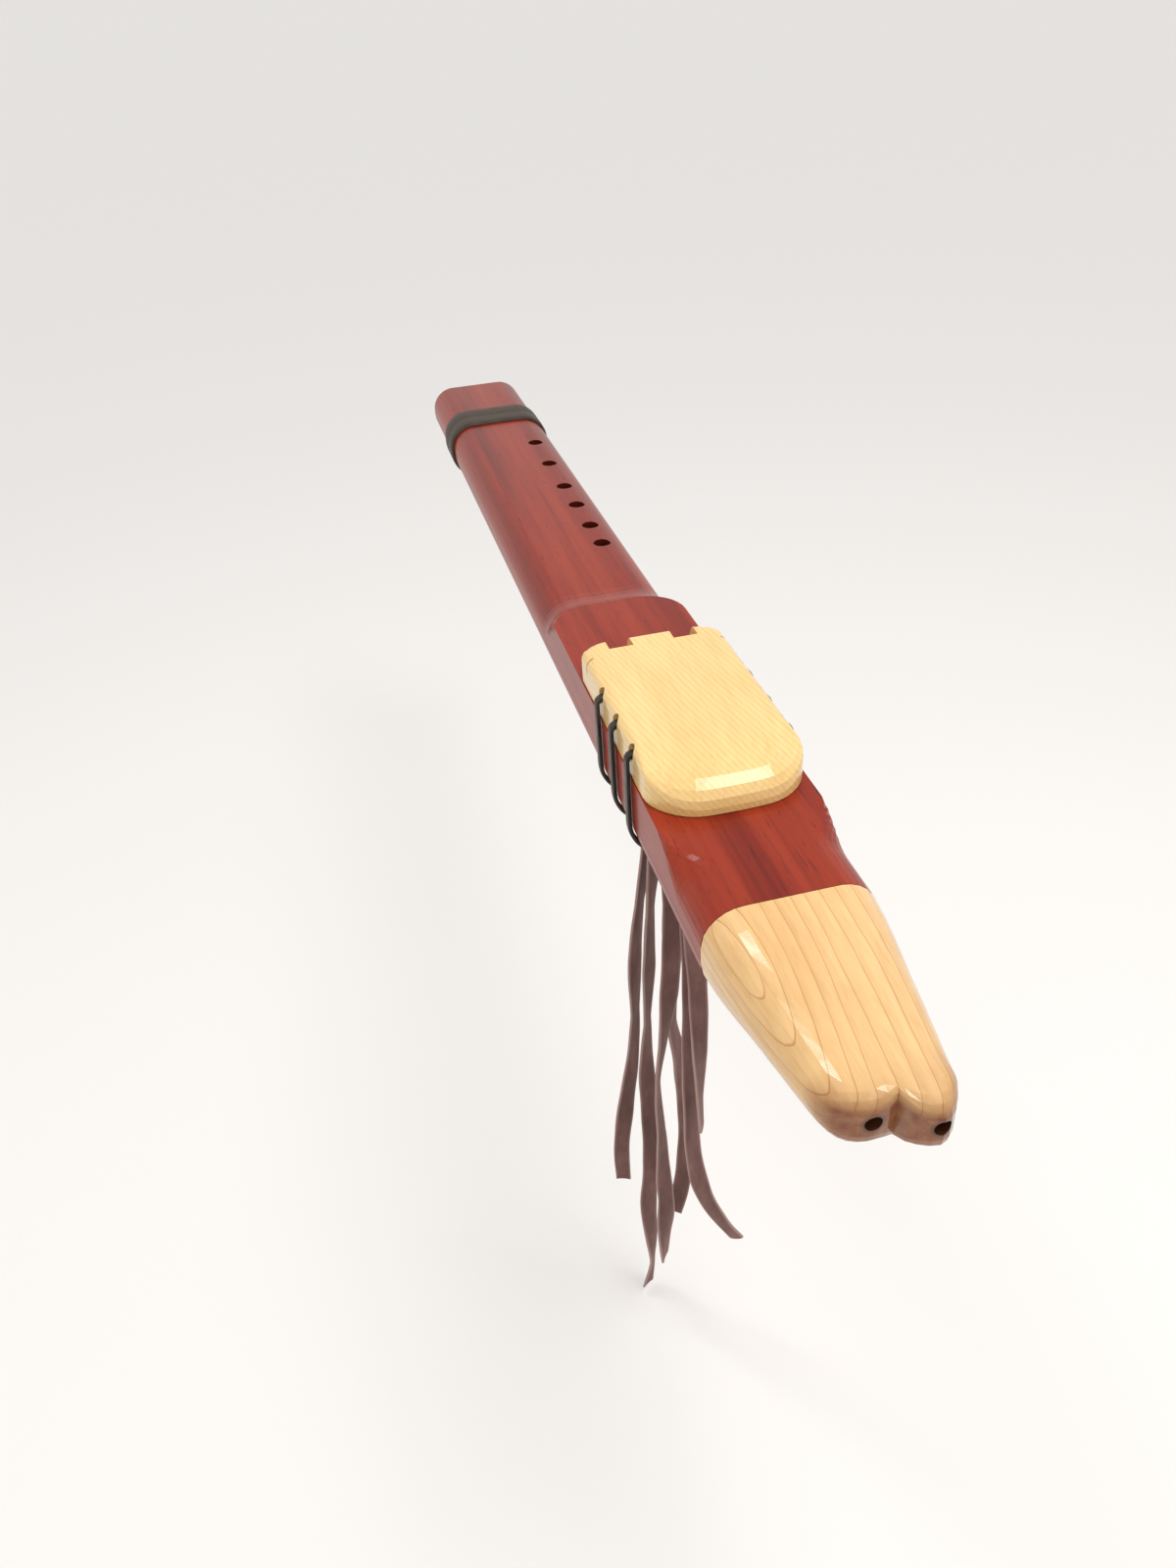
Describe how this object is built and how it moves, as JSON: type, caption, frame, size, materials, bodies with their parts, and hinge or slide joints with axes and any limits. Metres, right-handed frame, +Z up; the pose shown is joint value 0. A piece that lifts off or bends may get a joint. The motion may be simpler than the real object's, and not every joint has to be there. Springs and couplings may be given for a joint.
{
  "type": "double flute",
  "caption": "Double wooden duct flute with a melody chamber, a drone chamber, a maple mouthpiece and a tied-on block that slides to tune it.",
  "frame": {"origin": "on the flat underside where the front cradle of a stand bears, below the rear edge of the block's middle", "axes": "+Y along the flute from the mouth end to the foot, +Z up, +X to the side with the finger holes"},
  "size_m": [0.0701, 0.6905, 0.3991],
  "materials": {
    "red_wood": "dark red stained wood under a gloss lacquer",
    "maple": "pale maple under a gloss lacquer",
    "lace_leather": "dark smooth leather lace pulled tight",
    "suede": "purple-brown suede, napped both sides",
    "band_leather": "dark smooth leather strap"
  },
  "bodies": {
    "flute_body": {"body_top": "red_wood", "body_bottom": "red_wood", "mouthpiece": "maple", "foot_band": "band_leather"},
    "block_set": {"block": "maple", "lace_1": "lace_leather", "lace_2": "lace_leather", "lace_3": "lace_leather", "knot_1": "lace_leather", "knot_2": "lace_leather", "knot_3": "lace_leather", "thong_1a": "suede", "thong_1b": "suede", "thong_2a": "suede", "thong_2b": "suede", "thong_3a": "suede", "thong_3b": "suede"}
  },
  "joints": [
    {"name": "block_slide", "type": "slide", "parent": "flute_body", "child": "block_set", "axis": [0, 1, 0], "range_m": [-0.003, 0.003]}
  ]
}
